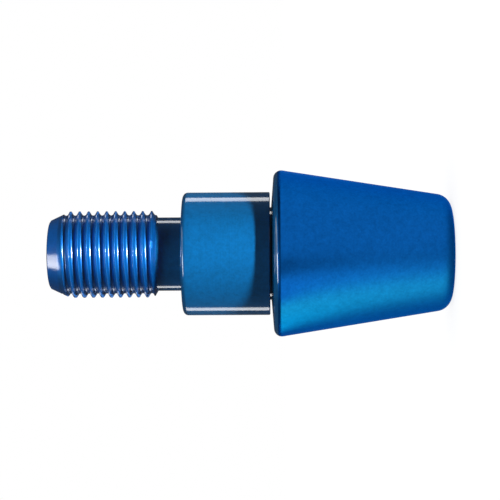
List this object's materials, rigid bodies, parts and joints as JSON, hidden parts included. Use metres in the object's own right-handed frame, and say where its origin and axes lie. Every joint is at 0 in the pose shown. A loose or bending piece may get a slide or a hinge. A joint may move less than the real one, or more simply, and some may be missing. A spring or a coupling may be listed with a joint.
{
  "type": "bar end weight",
  "caption": "Turned aluminium weight for the end of a motorbike handlebar: a rounded taper, a spigot for the bar's bore, an undercut neck and a threaded shank, anodised blue.",
  "frame": {"origin": "centre of the flat outer end, on which the part stands", "axes": "+Z along the turned axis, from the outer end towards the thread; X and Y are free, because the part is round"},
  "size_m": [0.023, 0.023, 0.0554],
  "materials": {
    "blue_anodised": "blue anodised, satin on the tapered weight and bright on the spigot, neck and thread"
  },
  "bodies": {
    "root": {"bar_end_weight": "blue_anodised"}
  },
  "joints": []
}
